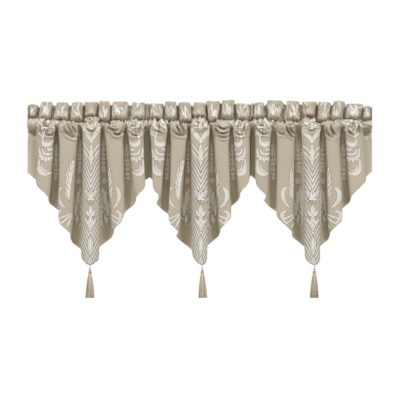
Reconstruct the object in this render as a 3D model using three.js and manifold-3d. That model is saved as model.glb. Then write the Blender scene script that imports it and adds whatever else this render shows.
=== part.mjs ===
// Three pointed ascot valances of damask cloth, gathered side by side for one curtain rod.
// Each valance is a heading (a frill above a rod pocket), a pleated panel cut to a point,
// and a tassel sewn to the point.
//
// Millimetres. X runs along the rod, Y from the room to the wall, Z up.
// The origin is on the rod's axis, at the middle of the row.
import * as THREE from "three";
import { mergeVertices } from "three/addons/utils/BufferGeometryUtils.js";
import Module from "manifold-3d";

// Cloth
const PANEL_CLOTH = 2; // face cloth and its turned edge, pressed together
const HEADING_CLOTH = 3; // the frill and the seam are two layers
const POCKET_CLOTH = 1.6; // one layer around the rod
const PIECE_GAP = 0.3; // between a piece and the one it is sewn to

// Heights above the rod's axis
const FRILL_STITCHES = 21; // the line of stitches between frill and pocket
const FRILL_SAG = 11; // the frill's edge hangs this much lower between its ridges
const SEAM = -26; // the pocket's lower line of stitches
const POINT = -474; // the hem's lowest point
const POINT_ROUNDING = 0.03; // share of the half width over which the point is rounded

// The panel's pleats open over the first share of their length
const PLEAT_OPENING = 0.22;
const PLEAT_DEPTH = [
  { at: "seam", recess: -4, ridge: 36 },
  { at: "hem", recess: -10, ridge: 39 },
];
const MIDDLE_PLEAT = 2;
const PLEAT_CROWN = 0.1; // a pleat's face is this share of its depth fuller in the middle
const CORNER_REACH = 0.75; // a rounded corner gets this share of the way to its outline's corner
const WALL_RUN = 3.5; // a gather's sides slope this far either way of its edge at the seam
const TUCK_AT = 0.45; // a tucked edge turns back under the pleat at this share of its depth
const PANEL_ROWS = [0, 0.1, PLEAT_OPENING, 0.6, 1]; // shares of the way from seam to hem
const PANEL_SAMPLES = 2; // columns for each point of the pleats' outline

// The heading's section. Distances are in front of the rod's axis, in a recess and on a ridge;
// `up` is the share of the way from the frill's stitches to its edge, and `skirt` is how far the
// gathers have changed from the frill's to the panel's.
const FRILL_ROWS = [
  { up: 1, recess: -13, ridge: 14, skirt: 0 },
  { up: 0.5, recess: -12, ridge: 13, skirt: 0 },
  { up: 0, recess: -4, ridge: 7, skirt: 0 },
];
const POCKET_ROWS = [
  { z: 16, recess: 17, ridge: 29, backRecess: -25, backRidge: -17, skirt: 0.9 },
  { z: 6, recess: 20, ridge: 39, backRecess: -32, backRidge: -23, skirt: 1 },
  { z: -7, recess: 20, ridge: 42, backRecess: -32, backRidge: -23, skirt: 1 },
  { z: -18, recess: 15.5, ridge: 41, backRecess: -22, backRidge: -15.5, skirt: 1 },
];
const HEADING_COLUMNS = 50;
const CLOTH_STEPS = 400; // steps in which the heading's cloth is measured off along its gathers

// Tassel
const TASSEL_PROFILE = [
  // distance below the tassel's top, and radius
  { below: 0, radius: 1.3 },
  { below: 11, radius: 1.3 }, // hanging cord
  { below: 14.5, radius: 3.2 }, // knot
  { below: 18, radius: 2.2 },
  { below: 21, radius: 5 },
  { below: 25, radius: 5.4 }, // wound head
  { below: 28, radius: 4.3 }, // bound neck
  { below: 33, radius: 6.3 },
  { below: 38, radius: 7.4 },
];
const TASSEL_LENGTH = 111;
const TASSEL_SIDES = 10;
const STRANDS = 30;
const STRAND_SIDES = 3;
const STRAND_ROOT = { spread: 5.8, radius: 0.6, buried: 2 };
const STRAND_END = { spread: 14.8, radius: 1.9 };
const STRAND_BELLY = 0.68; // share of the spread reached half way down
const GOLDEN_ANGLE = Math.PI * (3 - Math.sqrt(5));

// Pleats and frill ridges from left to right, in millimetres from the valance's middle. `front`
// is a pleat's depth as a share of PLEAT_DEPTH, and the tucks are how far its sides turn in
// behind its face at the hem. `crest` moves the middle of the middle pleat, where the hem has its
// point. The hem starts from `sideHem` at the edges, and the tassel hangs `lean` degrees off plumb.
const VALANCES = [
  {
    name: "left",
    x: -371,
    edges: [-212, 194.5],
    edgeFront: [0.45, 0.3],
    sideHem: [-160, -174],
    crest: 0,
    lean: -0.5,
    pleats: [
      { top: [-180, -119], hem: [-183, -137], front: 0.76, tucks: [0, 0] },
      { top: [-105, -41], hem: [-115, -60], front: 1, tucks: [29, 4] },
      { top: [-24, 35], hem: [-36, 39], front: 1.1, tucks: [16, 30] },
      { top: [50, 112], hem: [73, 119], front: 0.78, tucks: [2, 2] },
      { top: [128, 183], hem: [153, 194], front: 0.8, tucks: [0, 14] },
    ],
    frill: [
      { left: -205, right: -183, top: 71 },
      { left: -172, right: -137, top: 78 },
      { left: -119, right: -78, top: 77 },
      { left: -61, right: -26, top: 78 },
      { left: -15, right: 22, top: 78 },
      { left: 31, right: 65, top: 82 },
      { left: 77, right: 122, top: 80 },
      { left: 142, right: 182, top: 77 },
    ],
  },
  {
    name: "middle",
    x: 5,
    edges: [-179.4, 173.7],
    edgeFront: [0.05, 0.12],
    sideHem: [-172, -166],
    crest: 8,
    lean: 1.2,
    pleats: [
      { top: [-171, -115], hem: [-168, -127], front: 1, tucks: [16, 24] },
      { top: [-102, -46], hem: [-116, -67], front: 0.84, tucks: [15, 15] },
      { top: [-34, 28], hem: [-33, 29], front: 1.12, tucks: [4, 40] },
      { top: [39, 95], hem: [61, 109], front: 0.72, tucks: [0, 32] },
      { top: [110, 166], hem: [128, 168], front: 0.72, tucks: [2, 3] },
    ],
    frill: [
      { left: -171, right: -132, top: 74 },
      { left: -119, right: -84, top: 80 },
      { left: -70, right: -35, top: 77 },
      { left: -25, right: 14, top: 77 },
      { left: 26, right: 61, top: 82 },
      { left: 70, right: 109, top: 85 },
      { left: 121, right: 162, top: 73 },
    ],
  },
  {
    name: "right",
    x: 381,
    edges: [-200.5, 204.5],
    edgeFront: [0.28, 0.28],
    sideHem: [-172, -156],
    crest: 7.5,
    lean: -0.5,
    pleats: [
      { top: [-192, -139], hem: [-192, -145], front: 0.86, tucks: [2, 15] },
      { top: [-119, -57], hem: [-120, -63], front: 0.74, tucks: [0, 0] },
      { top: [-34, 26], hem: [-33, 36], front: 1.12, tucks: [34, 38] },
      { top: [43, 95], hem: [56, 111], front: 0.76, tucks: [0, 34] },
      { top: [113, 173], hem: [129, 186], front: 0.7, tucks: [0, 0] },
    ],
    frill: [
      { left: -193, right: -164, top: 77 },
      { left: -147, right: -106, top: 85 },
      { left: -85, right: -45, top: 82 },
      { left: -28, right: 10, top: 80 },
      { left: 23, right: 57, top: 78 },
      { left: 72, right: 106, top: 82 },
      { left: 117, right: 168, top: 72 },
      { left: 179, right: 198, top: 67 },
    ],
  },
];

const mix = THREE.MathUtils.lerp;
const ease = (t) => THREE.MathUtils.smoothstep(t, 0, 1);

const clothMaterial = new THREE.MeshStandardMaterial({
  name: "damask",
  color: 0xbfb39c,
  roughness: 0.55,
  metalness: 0,
});
const tasselMaterial = new THREE.MeshStandardMaterial({
  name: "tassel yarn",
  color: 0xb5a68e,
  roughness: 0.6,
  metalness: 0,
});

// The plan outline of a row of pleats is a list of points { x, wave }, where wave is 0 at the
// bottom of a recess and 1 on a full pleat's face.

// The panel's pleats at a share of the way from the seam, 0, to the hem, 1.
function pleatPlan(valance, down) {
  const run = WALL_RUN * (1 - down);
  const points = [{ x: valance.edges[0], wave: valance.edgeFront[0] }];
  for (const [i, { top, hem, front, tucks }] of valance.pleats.entries()) {
    const crest = i === MIDDLE_PLEAT ? valance.crest : 0;
    const left = mix(top[0], hem[0], down);
    const right = mix(top[1], hem[1], down);
    points.push({ x: left - run, wave: 0 });
    points.push({ x: left + tucks[0] * down, wave: front * TUCK_AT });
    points.push({ x: left + run, wave: front });
    points.push({ x: (left + right) / 2 + crest, wave: front + PLEAT_CROWN });
    points.push({ x: right - run, wave: front });
    points.push({ x: right - tucks[1] * down, wave: front * TUCK_AT });
    points.push({ x: right + run, wave: 0 });
  }
  points.push({ x: valance.edges[1], wave: valance.edgeFront[1] });
  return points;
}

// The frill's ridges, with the height of the edge above each.
function frillPlan(valance) {
  const points = [{ x: valance.edges[0], wave: 0.5, top: valance.frill[0].top }];
  for (const { left, right, top } of valance.frill) {
    points.push({ x: left - WALL_RUN, wave: 0, top });
    points.push({ x: left + WALL_RUN, wave: 1, top });
    points.push({ x: right - WALL_RUN, wave: 1, top });
    points.push({ x: right + WALL_RUN, wave: 0, top });
  }
  points.push({ x: valance.edges[1], wave: 0.5, top: valance.frill.at(-1).top });
  return points;
}

// A smooth curve that rounds the corners of an outline: a quadratic B-spline that starts and
// ends at the outline's own ends. `at` runs from 0 to 1.
function rounded(points, at) {
  const spans = points.length - 2;
  const position = Math.min(at * spans, spans - 1e-9);
  const span = Math.floor(position);
  const t = position - span;
  const first = span === 0 ? points[0] : midway(points[span], points[span + 1]);
  const corner = points[span + 1];
  const last = span === spans - 1 ? points[spans + 1] : midway(corner, points[span + 2]);
  const bent = {};
  for (const key of Object.keys(corner)) {
    bent[key] = (1 - t) ** 2 * first[key] + 2 * t * (1 - t) * corner[key] + t ** 2 * last[key];
  }
  return bent;
}

function midway(a, b) {
  const between = {};
  for (const key of Object.keys(a)) between[key] = (a[key] + b[key]) / 2;
  return between;
}

// For a number of evenly spaced curve parameters, the share of the cloth's width that lies to
// the left of each. The pleat depth counts, so deep walls take up cloth.
function clothShares(points, count, depth) {
  const curve = [];
  for (let i = 0; i <= count; i++) curve.push(rounded(points, i / count));
  const along = [0];
  for (let i = 1; i <= count; i++) {
    const step = Math.hypot(
      curve[i].x - curve[i - 1].x,
      (curve[i].wave - curve[i - 1].wave) * depth,
    );
    along.push(along[i - 1] + step);
  }
  return along.map((length) => length / along[count]);
}

// The curve parameter at which a given share of the cloth lies to the left.
function parameterAt(shares, share) {
  const count = shares.length - 1;
  let i = 1;
  while (i < count && shares[i] < share) i++;
  const t = (share - shares[i - 1]) / (shares[i] - shares[i - 1]);
  return (i - 1 + t) / count;
}

// Height of the hem where `share` of the cloth lies to the left. The cut edge runs straight
// from each side to the point, and is rounded there. `middle` is the share at the point.
function hemHeight(share, middle, sideHem) {
  const onLeft = share < middle;
  const away = onLeft ? (middle - share) / middle : (share - middle) / (1 - middle);
  const softened = (distance) => Math.hypot(distance, POINT_ROUNDING) - POINT_ROUNDING;
  return mix(POINT, onLeft ? sideHem[0] : sideHem[1], softened(away) / softened(1));
}

// Points moved sideways by half the cloth's thickness, square to a row's outline in plan.
function offsetRow(row, distance) {
  return row.map((point, i) => {
    const before = row[Math.max(0, i - 1)];
    const after = row[Math.min(row.length - 1, i + 1)];
    const along = new THREE.Vector2(after.x - before.x, after.y - before.y).normalize();
    return new THREE.Vector3(point.x + along.y * distance, point.y - along.x * distance, point.z);
  });
}

function meshGeometry(vertices, triangles) {
  const geometry = new THREE.BufferGeometry();
  const positions = vertices.flatMap((v) => [v.x, v.y, v.z]);
  geometry.setAttribute("position", new THREE.Float32BufferAttribute(positions, 3));
  geometry.setIndex(triangles);
  return geometry;
}

// A closed sheet between a front grid and a back grid of points, rows from top to bottom and
// columns from left to right.
function sheetGeometry(front, back) {
  const rows = front.length;
  const columns = front[0].length;
  const vertices = [...front.flat(), ...back.flat()];
  const triangles = [];
  const at = (side, row, column) => (side * rows + row) * columns + column;
  const quad = (a, b, c, d) => triangles.push(a, b, c, a, c, d);
  for (let r = 0; r + 1 < rows; r++) {
    for (let c = 0; c + 1 < columns; c++) {
      quad(at(0, r, c), at(0, r + 1, c), at(0, r + 1, c + 1), at(0, r, c + 1));
      quad(at(1, r, c), at(1, r, c + 1), at(1, r + 1, c + 1), at(1, r + 1, c));
    }
    const last = columns - 1;
    quad(at(0, r, 0), at(1, r, 0), at(1, r + 1, 0), at(0, r + 1, 0));
    quad(at(0, r, last), at(0, r + 1, last), at(1, r + 1, last), at(1, r, last));
  }
  for (let c = 0; c + 1 < columns; c++) {
    const last = rows - 1;
    quad(at(0, 0, c), at(0, 0, c + 1), at(1, 0, c + 1), at(1, 0, c));
    quad(at(0, last, c), at(1, last, c), at(1, last, c + 1), at(0, last, c + 1));
  }
  return meshGeometry(vertices, triangles);
}

// A closed tube of sections, each an outer loop around a hole: `outer` and `inner` are lists of
// sections, and a section is a list of points. The outer loop runs down the front and up the
// back, and the inner one the other way round.
function hollowLoft(outer, inner) {
  const sections = outer.length;
  const outerSize = outer[0].length;
  const innerSize = inner[0].length;
  const size = outerSize + innerSize;
  const vertices = outer.flatMap((loop, j) => [...loop, ...inner[j]]);
  const triangles = [];
  for (let j = 0; j + 1 < sections; j++) {
    for (const [start, count] of [[0, outerSize], [outerSize, innerSize]]) {
      for (let i = 0; i < count; i++) {
        const a = j * size + start + i;
        const b = j * size + start + ((i + 1) % count);
        triangles.push(a, b, b + size, a, b + size, a + size);
      }
    }
  }
  const flat = (loop) => loop.map((p) => new THREE.Vector2(p.y, p.z));
  for (const [j, turned] of [[0, true], [sections - 1, false]]) {
    for (const face of THREE.ShapeUtils.triangulateShape(flat(outer[j]), [flat(inner[j])])) {
      const [a, b, c] = face.map((i) => j * size + i);
      triangles.push(...(turned ? [a, c, b] : [a, b, c]));
    }
  }
  return meshGeometry(vertices, triangles);
}

// The pleated panel that hangs from the seam, down to the pointed hem.
function panelGeometry(valance) {
  const [seamDepth, hemDepth] = PLEAT_DEPTH;
  const hemPlan = pleatPlan(valance, 1);
  const count = (hemPlan.length - 2) * PANEL_SAMPLES;
  const shares = clothShares(hemPlan, count, hemDepth.ridge - hemDepth.recess);
  const middle = shares[count / 2];
  const rows = PANEL_ROWS.map((down) => {
    const plan = pleatPlan(valance, down);
    const opened = ease(down / PLEAT_OPENING);
    const recess = mix(seamDepth.recess, hemDepth.recess, opened);
    const ridge = mix(seamDepth.ridge, hemDepth.ridge, opened);
    return shares.map((share, i) => {
      const { x, wave } = rounded(plan, i / count);
      const z = mix(SEAM - PIECE_GAP, hemHeight(share, middle, valance.sideHem), down);
      return new THREE.Vector3(x, -mix(recess, ridge, wave), z);
    });
  });
  return sheetGeometry(
    rows.map((row) => offsetRow(row, PANEL_CLOTH / 2)),
    rows.map((row) => offsetRow(row, -PANEL_CLOTH / 2)),
  );
}

// The frill and the rod pocket, one folded strip: the frill is two layers sewn together, and
// they part below it to go round the rod and meet again at the seam.
function headingGeometry(valance) {
  const frill = frillPlan(valance);
  const pleats = pleatPlan(valance, 0);
  const [frillRow] = FRILL_ROWS;
  const hemDepth = PLEAT_DEPTH[1];
  const frillShares = clothShares(frill, CLOTH_STEPS, frillRow.ridge - frillRow.recess);
  const pleatShares = clothShares(pleats, CLOTH_STEPS, hemDepth.ridge - hemDepth.recess);
  const columns = [];
  for (let j = 0; j <= HEADING_COLUMNS; j++) {
    const share = j / HEADING_COLUMNS;
    columns.push({
      frill: rounded(frill, parameterAt(frillShares, share)),
      pleat: rounded(pleats, parameterAt(pleatShares, share)),
    });
  }
  const clothRow = (skirt, recess, ridge, height) =>
    columns.map(({ frill: a, pleat: b }) => {
      const wave = mix(a.wave, b.wave, skirt);
      return new THREE.Vector3(mix(a.x, b.x, skirt), -mix(recess, ridge, wave), height(a));
    });
  const frillRows = FRILL_ROWS.map(({ up, recess, ridge, skirt }) =>
    clothRow(skirt, recess, ridge, ({ top, wave }) =>
      mix(FRILL_STITCHES, top - FRILL_SAG * (1 - wave), up),
    ),
  );
  const frontRows = POCKET_ROWS.map((r) => clothRow(r.skirt, r.recess, r.ridge, () => r.z));
  const backRows = POCKET_ROWS.map((r) => clothRow(r.skirt, r.backRecess, r.backRidge, () => r.z));
  const seamRow = clothRow(1, PLEAT_DEPTH[0].recess, PLEAT_DEPTH[0].ridge, () => SEAM);
  const shift = (rows, distance) => rows.map((r) => offsetRow(r, distance));
  const outerRows = [
    ...shift(frillRows, HEADING_CLOTH / 2),
    ...shift(frontRows, POCKET_CLOTH / 2),
    ...shift([seamRow], HEADING_CLOTH / 2),
    ...shift([seamRow], -HEADING_CLOTH / 2),
    ...shift(backRows, -POCKET_CLOTH / 2).reverse(),
    ...shift(frillRows, -HEADING_CLOTH / 2).reverse(),
  ];
  const innerRows = [
    ...shift(frontRows, -POCKET_CLOTH / 2).reverse(),
    ...shift(backRows, POCKET_CLOTH / 2),
  ];
  const section = (rows, j) => rows.map((r) => r[j]);
  return hollowLoft(
    columns.map((_, j) => section(outerRows, j)),
    columns.map((_, j) => section(innerRows, j)),
  );
}

// One lock of the tassel's skirt: a thin prism that swells towards its free end.
function strandGeometry(index, shoulder) {
  const angle = index * GOLDEN_ANGLE;
  const outward = Math.sqrt((index + 0.5) / STRANDS);
  const middleSpread = mix(STRAND_ROOT.spread, STRAND_END.spread, STRAND_BELLY);
  const rings = [
    { z: -shoulder + STRAND_ROOT.buried, spread: STRAND_ROOT.spread, radius: STRAND_ROOT.radius },
    {
      z: -(shoulder + TASSEL_LENGTH) / 2,
      spread: middleSpread,
      radius: (STRAND_ROOT.radius + STRAND_END.radius) / 2,
    },
    { z: -TASSEL_LENGTH, spread: STRAND_END.spread, radius: STRAND_END.radius },
  ];
  const vertices = rings.flatMap(({ z, spread, radius }) =>
    Array.from({ length: STRAND_SIDES }, (_, k) => {
      const turn = angle + (k / STRAND_SIDES) * 2 * Math.PI;
      return new THREE.Vector3(
        Math.cos(angle) * outward * spread + Math.cos(turn) * radius,
        Math.sin(angle) * outward * spread + Math.sin(turn) * radius,
        z,
      );
    }),
  );
  const triangles = [];
  for (let ring = 0; ring + 1 < rings.length; ring++) {
    for (let k = 0; k < STRAND_SIDES; k++) {
      const a = ring * STRAND_SIDES + k;
      const b = ring * STRAND_SIDES + ((k + 1) % STRAND_SIDES);
      triangles.push(a, a + STRAND_SIDES, b + STRAND_SIDES, a, b + STRAND_SIDES, b);
    }
  }
  const last = (rings.length - 1) * STRAND_SIDES;
  for (let k = 1; k + 1 < STRAND_SIDES; k++) {
    triangles.push(0, k, k + 1);
    triangles.push(last, last + k + 1, last + k);
  }
  return meshGeometry(vertices, triangles);
}

// Hanging cord, knotted head and bound neck, turned about the tassel's axis.
function tasselHeadGeometry() {
  const bottom = TASSEL_PROFILE.at(-1).below;
  const profile = TASSEL_PROFILE.map(({ below, radius }) => new THREE.Vector2(radius, -below));
  const closed = [new THREE.Vector2(0, 0), ...profile, new THREE.Vector2(0, -bottom)];
  const lathe = new THREE.LatheGeometry(closed.reverse(), TASSEL_SIDES);
  return lathe.rotateX(Math.PI / 2);
}

const wasm = await Module();
wasm.setup();

function toSolid(geometry) {
  const bare = geometry.clone();
  bare.deleteAttribute("normal");
  bare.deleteAttribute("uv");
  const merged = mergeVertices(bare, 1e-3);
  return new wasm.Manifold(
    new wasm.Mesh({
      numProp: 3,
      vertProperties: merged.attributes.position.array,
      triVerts: new Uint32Array(merged.index.array),
    }),
  );
}

function fromSolid(solid) {
  const { vertProperties, triVerts } = solid.getMesh();
  const geometry = new THREE.BufferGeometry();
  geometry.setAttribute("position", new THREE.BufferAttribute(vertProperties, 3));
  geometry.setIndex(new THREE.BufferAttribute(triVerts, 1));
  return geometry;
}

// The tassel hangs from its own origin. Its strands are fused into the shoulder under the neck.
function tasselGeometry() {
  const shoulder = TASSEL_PROFILE.at(-1).below;
  let tassel = toSolid(tasselHeadGeometry());
  for (let i = 0; i < STRANDS; i++) tassel = tassel.add(toSolid(strandGeometry(i, shoulder)));
  return fromSolid(tassel);
}

function namedMesh(name, geometry, material) {
  const mesh = new THREE.Mesh(geometry, material);
  mesh.name = name;
  return mesh;
}

const row = new THREE.Group();
row.name = "ascot valances";
for (const valance of VALANCES) {
  const group = new THREE.Group();
  group.position.x = valance.x;
  group.add(namedMesh(`heading_${valance.name}`, headingGeometry(valance), clothMaterial));
  group.add(namedMesh(`panel_${valance.name}`, panelGeometry(valance), clothMaterial));

  const { hem, front } = valance.pleats[MIDDLE_PLEAT];
  const pointX = (hem[0] + hem[1]) / 2 + valance.crest * CORNER_REACH;
  const pointWave = front + PLEAT_CROWN * CORNER_REACH;
  const pointFront = mix(PLEAT_DEPTH[1].recess, PLEAT_DEPTH[1].ridge, pointWave);
  const tassel = namedMesh(`tassel_${valance.name}`, tasselGeometry(), tasselMaterial);
  tassel.position.set(pointX, -pointFront, POINT - PIECE_GAP);
  tassel.rotation.y = -THREE.MathUtils.degToRad(valance.lean);
  group.add(tassel);
  row.add(group);
}

export default row;
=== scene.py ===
"""Looks of three damask ascot valances with tassels, gathered side by side for one curtain rod.

Lengths in the tables are millimetres. X runs along the rod, Y from the room to the wall, Z up.
"""

import math
from collections import namedtuple

import bpy
import numpy as np
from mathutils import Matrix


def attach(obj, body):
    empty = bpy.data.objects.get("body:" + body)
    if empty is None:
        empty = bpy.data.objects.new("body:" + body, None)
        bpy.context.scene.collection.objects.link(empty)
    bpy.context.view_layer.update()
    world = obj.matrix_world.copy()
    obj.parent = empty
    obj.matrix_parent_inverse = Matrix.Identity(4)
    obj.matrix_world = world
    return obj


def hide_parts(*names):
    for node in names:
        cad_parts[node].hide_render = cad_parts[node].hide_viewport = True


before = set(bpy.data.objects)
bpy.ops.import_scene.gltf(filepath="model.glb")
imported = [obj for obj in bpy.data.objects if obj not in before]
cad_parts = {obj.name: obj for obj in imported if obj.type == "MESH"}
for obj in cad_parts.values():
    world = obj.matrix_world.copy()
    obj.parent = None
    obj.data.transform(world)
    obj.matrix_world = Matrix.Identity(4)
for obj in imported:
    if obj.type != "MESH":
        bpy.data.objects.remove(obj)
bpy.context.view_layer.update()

METRE = 0.001  # millimetres to metres
TURN = 2 * math.pi

# Valances

Pleat = namedtuple("Pleat", "top hem front tucks shows")

# `edges` are the cloth's ends, with their depth, the hem's height there and how far they lie over their
# neighbours. `crest` moves the middle of the middle pleat, `lean` is the tassel's angle off plumb in
# degrees, and `valleys` says how far each recess is filled. A pleat has its edges at the seam and at
# the hem, its depth, how far its sides tuck under, and the part of the cloth that shows in its middle.
# A ridge of the frill has its sides and the heights of its edge and its stitches. A crease has three
# points of its curve on the cloth's face, in X and Z, its width and its depth.
VALANCES = {}
VALANCES["left"] = dict(
    x=-371, edges=(-212, 194.5), edge_front=(0.45, 0.3), side_hem=(-160, -174), crest=0,
    lean=-0.5, valleys=(0.36, 0, 0.22, 0.12, 0, 0), overlap=(0, 4),
    pleats=[
        Pleat((-180, -119), (-183, -137), 0.76, (0, 0), -330),
        Pleat((-105, -41), (-115, -60), 1.0, (29, 4), -180),
        Pleat((-24, 35), (-36, 39), 1.1, (16, 30), 0),
        Pleat((50, 112), (73, 119), 0.78, (2, 2), 195),
        Pleat((128, 183), (153, 194), 0.8, (0, 14), 330),
    ],
    frill=[
        (-205, -183, 71, 26), (-172, -137, 78, 18), (-119, -78, 77, 15), (-61, -26, 78, 12),
        (-15, 22, 78, 28), (31, 65, 82, 10), (77, 122, 80, 16), (142, 182, 77, 20),
    ],
    creases=[
        (-164, -4, -156, 6, -146, 16, 3.4, 5.0), (-160, -9, -152, -2, -142, -6, 3.2, 4.4),
        (-168, -8, -166, -24, -161, -40, 3.0, 4.0), (-150, -30, -138, -40, -124, -30, 3.4, 4.0),
        (-136, 14, -130, 4, -124, -10, 3.2, 3.6), (-80, 14, -72, -10, -54, -38, 3.6, 5.4),
        (-66, 14, -58, -10, -46, -28, 3.4, 5.0), (-92, 2, -70, -50, -44, -40, 4.2, 4.2),
        (-8, 16, 4, 24, 16, 14, 3.2, 3.6), (-14, -12, 4, -32, 24, -14, 3.6, 3.0),
        (60, 8, 74, 0, 90, 8, 3.4, 4.6), (62, -8, 76, -20, 92, -18, 3.6, 5.4),
        (76, -20, 92, -44, 108, -22, 3.8, 6.0), (134, 12, 146, 4, 158, 12, 3.2, 4.0),
        (176, 6, 170, -14, 156, -32, 3.4, 5.0), (136, -26, 150, -42, 168, -34, 3.4, 4.0),
    ],
)
VALANCES["middle"] = dict(
    x=5, edges=(-179.4, 173.7), edge_front=(0.05, 0.12), side_hem=(-172, -166), crest=8,
    lean=1.2, valleys=(0, 0, 0, 0.1, 0, 0), overlap=(-4, 4),
    pleats=[
        Pleat((-171, -115), (-168, -127), 1.0, (16, 24), -330),
        Pleat((-102, -46), (-116, -67), 0.84, (15, 15), -179),
        Pleat((-34, 28), (-33, 29), 1.12, (4, 40), 0),
        Pleat((39, 95), (61, 109), 0.72, (0, 32), 196),
        Pleat((110, 166), (128, 168), 0.72, (2, 3), 340),
    ],
    frill=[
        (-171, -132, 74, 18), (-119, -84, 80, 17), (-70, -35, 77, 6), (-25, 14, 77, 26),
        (26, 61, 82, 9), (70, 109, 85, 19), (121, 162, 73, 16),
    ],
    creases=[
        (-158, 10, -144, 16, -130, 6, 3.2, 4.8), (-164, -14, -150, -26, -136, -22, 3.4, 4.6),
        (-150, 2, -138, -16, -120, -20, 3.4, 4.2), (-88, 8, -78, -16, -58, -34, 3.6, 5.6),
        (-72, 6, -62, -14, -50, -32, 3.4, 4.8), (-94, -18, -78, -40, -52, -34, 4.0, 4.4),
        (-16, 18, -6, 26, 4, 14, 3.2, 4.0), (2, 4, 8, -10, 18, -22, 3.2, 3.4),
        (48, 12, 58, 2, 66, 12, 3.2, 4.2), (46, -8, 62, -34, 88, -26, 3.6, 5.0),
        (56, -2, 70, -20, 90, -10, 3.4, 4.8), (60, -36, 76, -48, 94, -38, 3.6, 3.6),
        (116, 10, 128, 2, 140, 10, 3.2, 4.4), (150, 6, 146, -14, 134, -34, 3.4, 4.8),
        (118, -26, 130, -38, 146, -32, 3.4, 4.0),
    ],
)
VALANCES["right"] = dict(
    x=381, edges=(-200.5, 204.5), edge_front=(0.28, 0.28), side_hem=(-172, -156), crest=7.5,
    lean=-0.5, valleys=(0, 0, 0.18, 0.2, 0, 0.36), overlap=(-4, 0),
    pleats=[
        Pleat((-192, -139), (-192, -145), 0.86, (2, 15), -330),
        Pleat((-119, -57), (-120, -63), 0.74, (0, 0), -195),
        Pleat((-34, 26), (-33, 36), 1.12, (34, 38), 0),
        Pleat((43, 95), (56, 111), 0.76, (0, 34), 192),
        Pleat((113, 173), (129, 186), 0.7, (0, 0), 335),
    ],
    frill=[
        (-193, -164, 77, 22), (-147, -106, 85, 15), (-85, -45, 82, 13), (-28, 10, 80, 27),
        (23, 57, 78, 9), (72, 106, 82, 18), (117, 168, 72, 19), (179, 198, 67, 18),
    ],
    creases=[
        (-186, 4, -174, -6, -160, -2, 3.2, 4.6), (-182, -16, -170, -36, -152, -30, 3.4, 4.4),
        (-160, 12, -154, -4, -146, -18, 3.2, 4.0), (-92, 12, -80, -34, -60, -44, 3.8, 5.8),
        (-80, 8, -74, -20, -60, -32, 3.4, 5.4), (-86, 4, -74, -2, -62, 4, 3.2, 5.0),
        (-114, -22, -104, -34, -92, -32, 3.6, 3.6), (-14, 18, -4, 30, 8, 16, 3.2, 4.0),
        (-20, -10, -4, -30, 14, -14, 3.6, 3.0), (60, 12, 62, -16, 80, -36, 3.8, 5.4),
        (46, -12, 54, -34, 72, -44, 3.8, 4.0), (124, 8, 136, 0, 150, 8, 3.2, 4.6),
        (118, -10, 128, -30, 144, -36, 3.4, 4.4), (164, 4, 158, -14, 150, -30, 3.4, 4.4),
    ],
)

# Heights and pleat depths, close to those of the solids
FRILL_SAG = 11  # of the frill's edge between its ridges
FRILL_STITCHES = 21  # height of the line between frill and pocket
SEAM = -26  # the pocket's lower line of stitches
POINT = -474  # the hem's lowest point
POINT_ROUNDING = 0.03  # share of the half width
PLEAT_OPENING = 0.22  # share of the drop over which the pleats get their full depth
FLAP_OPENING = 0.18  # and the end flaps theirs
WALL_OPENING = 0.15  # and the folds' sides their slope
SEAM_DEPTH = (-4, 38)  # in front of the rod's axis, in a recess and on a ridge
HEM_DEPTH = (-10, 39)
HEM_FLARE = 12  # how far a recess comes forward at the hem
HEM_FLARE_HEIGHT = 40
HEM_CURL = 4.5  # how far a pleat's corners draw in at the hem
HEM_CURL_HEIGHT = 9
MIDDLE_PLEAT = 2
PLEAT_POINTS = 7  # of the plan outline
FIRST_FACE = 4  # point in the first face's middle
PLEAT_CROWN = 0.1  # how much fuller a face is in its middle
CORNER_REACH = 0.75  # share of the way to a corner that the rounded outline goes
WALL_RUN = 3.5  # how far a fold's side slopes either way of its edge
POCKET_RUN = -1.0  # the same at the pocket, where the sides are undercut
POCKET_SHOULDER = 15  # how far the stitches draw in each side of a pleat's face
SEAM_FLAP = 0.06  # share of its depth that an end flap keeps at the seam
OVERLAP_AT_TOP = 0.2  # share of the overlap at the pocket
SEAM_DRAW = (2, 26)  # height where the seam starts to draw pleats in, and over what
STITCH_DRAW = (-12, 28)  # the same for the frill's stitches
STITCH_PULL = -4  # height down to which the pocket follows the stitches
TUCK_AT = 0.45  # share of a pleat's depth at which its side turns under
PIECE_GAP = 0.3  # between the point and its tassel
FRILL_SHOULDER = 0.9  # how far forward the frill is at the sides of a ridge
FRILL_CROWN = 1.2  # and in its middle
FRILL_END = 0.5  # and at the cloth's ends
SAG_UNDER = 0.45  # how far forward it has to be for its edge not to sag

# The heading's section: height (or share of the frill's height), distances in front of the rod's axis
# in a recess and on a ridge, and for the pocket how far its gathers are the skirt's.
FRILL_SECTION = [(1.0, -16, 13), (0.5, -15, 14), (0.2, -13, 19), (0.0, -8, 0)]
POCKET_FRONT = [
    (21, -8, 0, 0), (16, 13, 29, 0.9), (7, 24, 39, 1), (-3, 20, 43, 1),
    (-9, 13.5, 43, 1), (-17, 1, 42, 1), (-26, -7, 38, 1),
]
POCKET_BACK = [
    (-26, -6, 35, 1), (-18, -22, -15.5, 1), (-7, -32, -23, 1), (6, -32, -23, 1),
    (16, -25, -17, 0.9), (21, -7, 2, 0),
]

# Cloth
CLOTH_WIDTH = 838
CLOTH = 1.1  # thickness
LAYERS = 1.8  # between the middles of the frill's two layers
FOLD_RUN = 3  # length of cloth in the fold between them
COLUMNS = 292
FRONT_ROWS = 5  # to each span of the heading's section
BACK_ROWS = 2
SKIRT_ROWS = 98
SKIRT_CROWDING = 1.08  # rows are closer near the seam
FACE_CROWDING = 0.6  # share of the columns spread by what shows from the front

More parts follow.
